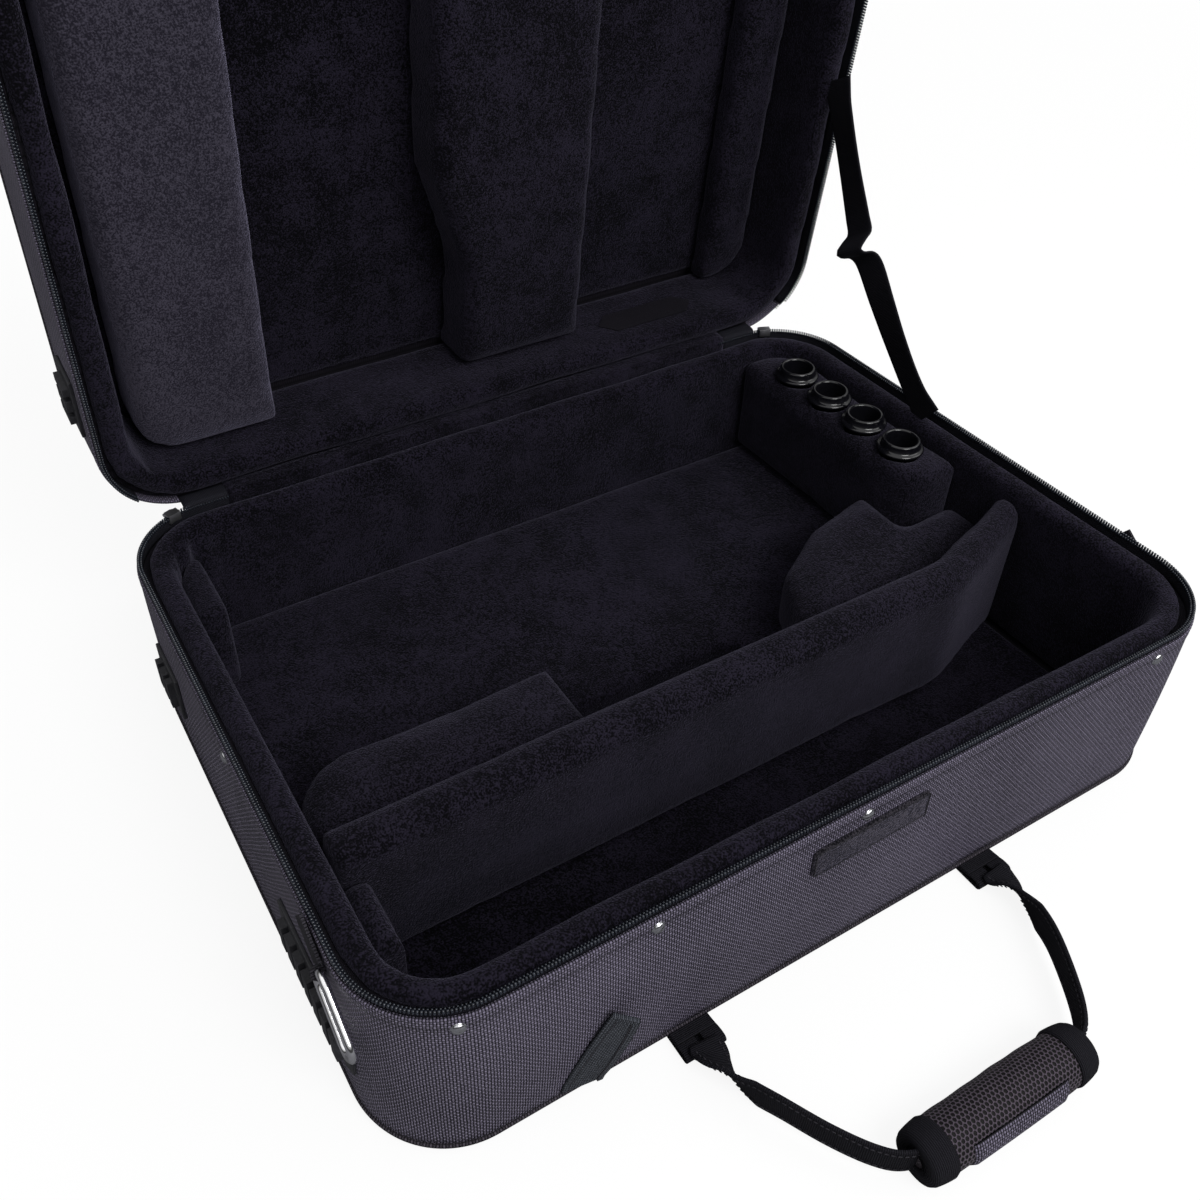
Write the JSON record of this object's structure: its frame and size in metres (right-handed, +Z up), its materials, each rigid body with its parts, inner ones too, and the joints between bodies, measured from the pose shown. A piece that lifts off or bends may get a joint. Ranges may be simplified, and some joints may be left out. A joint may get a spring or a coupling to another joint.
{
  "type": "trumpet case",
  "caption": "Soft-sided instrument case, lying open: padded base and lid on a fabric hinge, zipper, divided bays, mouthpiece block and carry handle.",
  "frame": {"origin": "middle of the base's flat bottom, on the floor", "axes": "+X along the front to the right, +Y from the front to the hinge, +Z up"},
  "size_m": [0.5858, 0.6386, 0.5574],
  "materials": {
    "nylon_cover": "coarse woven ballistic nylon",
    "braided_piping": "braided cord",
    "frame_board": "laminated board",
    "plush_lining": "short crushed plush",
    "plush_foam": "foam under short plush",
    "lining_cloth": "plain woven cloth",
    "sleeve_plastic": "moulded, glossy",
    "zip_tape": "herringbone tape",
    "zip_teeth": "moulded teeth",
    "rivet_steel": "satin",
    "skid_rubber": "matt",
    "loop_fastener": "looped pile",
    "webbing": "ribbed webbing",
    "grip_mesh": "open honeycomb mesh",
    "closure_cloth": "woven cloth",
    "ring_chrome": "polished",
    "slider_metal": "nickel plate"
  },
  "bodies": {
    "case_base": {"base_side_cover": "nylon_cover", "base_bottom_panel": "nylon_cover", "base_piping": "braided_piping", "base_frame": "frame_board", "base_lining": "plush_lining", "floor_lining": "plush_lining", "horn_floor": "plush_foam", "divider": "plush_foam", "body_pad": "plush_foam", "bow_pad": "plush_foam", "bell_pad": "plush_foam", "end_pad": "plush_foam", "mouthpiece_block": "plush_foam", "mouthpiece_sleeves": "sleeve_plastic", "base_zip_tape": "zip_tape", "base_zip_coil": "zip_teeth", "base_rivets": "rivet_steel", "base_front_skids": "skid_rubber", "base_rear_skids": "skid_rubber", "loop_patch": "loop_fastener", "web_tab": "webbing", "ring_tabs": "webbing", "handle_anchors": "webbing", "hinge_gusset": "lining_cloth", "lid_stay": "webbing"},
    "lid": {"lid_side_cover": "nylon_cover", "lid_top_panel": "nylon_cover", "lid_piping": "braided_piping", "lid_frame": "frame_board", "lid_lining": "plush_lining", "lid_ceiling_pad": "plush_lining", "lid_left_block": "plush_foam", "lid_middle_block": "plush_foam", "lid_right_block": "plush_foam", "lid_wall_patch": "lining_cloth", "lid_zip_tape": "zip_tape", "lid_zip_coil": "zip_teeth", "lid_front_skids": "skid_rubber", "lid_rear_skids": "skid_rubber"},
    "carry_handle": {"handle_web": "webbing", "handle_grip": "grip_mesh", "handle_bindings": "webbing", "handle_closure": "closure_cloth"},
    "left_ring": {"left_ring": "ring_chrome"},
    "right_ring": {"right_ring": "ring_chrome"},
    "left_slider": {"left_slider": "slider_metal"},
    "right_slider": {"right_slider": "slider_metal"},
    "left_pull": {"left_pull": "slider_metal"},
    "right_pull": {"right_pull": "slider_metal"}
  },
  "joints": [
    {"name": "lid_hinge", "type": "hinge", "parent": "case_base", "child": "lid", "pos_m": [0, 0.2079, 0.132], "axis": [1, 0, 0], "range_deg": [0, 84], "deforming": ["hinge_gusset", "lid_stay"]},
    {"name": "handle_swing", "type": "hinge", "parent": "case_base", "child": "carry_handle", "pos_m": [-0.005, -0.226, 0.0033], "axis": [-1, 0, 0], "range_deg": [0, 78]},
    {"name": "left_ring_swing", "type": "hinge", "parent": "case_base", "child": "left_ring", "pos_m": [-0.289, -0.146, 0.109], "axis": [0, 0.5878, -0.809], "range_deg": [0, 150]},
    {"name": "right_ring_swing", "type": "hinge", "parent": "case_base", "child": "right_ring", "pos_m": [0.289, -0.146, 0.109], "axis": [0, -0.5878, 0.809], "range_deg": [0, 150]},
    {"name": "left_slider_run", "type": "hinge", "parent": "case_base", "child": "left_slider", "pos_m": [-0.23, 0.155, 0.1295], "axis": [0, 0, 1], "range_deg": [0, 62]},
    {"name": "left_pull_swing", "type": "hinge", "parent": "left_slider", "child": "left_pull", "pos_m": [-0.25071, 0.20896, 0.1295], "axis": [0.9336, 0.3584, 0], "range_deg": [0, 80]},
    {"name": "right_slider_run", "type": "hinge", "parent": "case_base", "child": "right_slider", "pos_m": [0.23, 0.155, 0.1295], "axis": [0, 0, -1], "range_deg": [0, 62]},
    {"name": "right_pull_swing", "type": "hinge", "parent": "right_slider", "child": "right_pull", "pos_m": [0.25071, 0.20896, 0.1295], "axis": [0.9336, -0.3584, 0], "range_deg": [0, 80]}
  ]
}
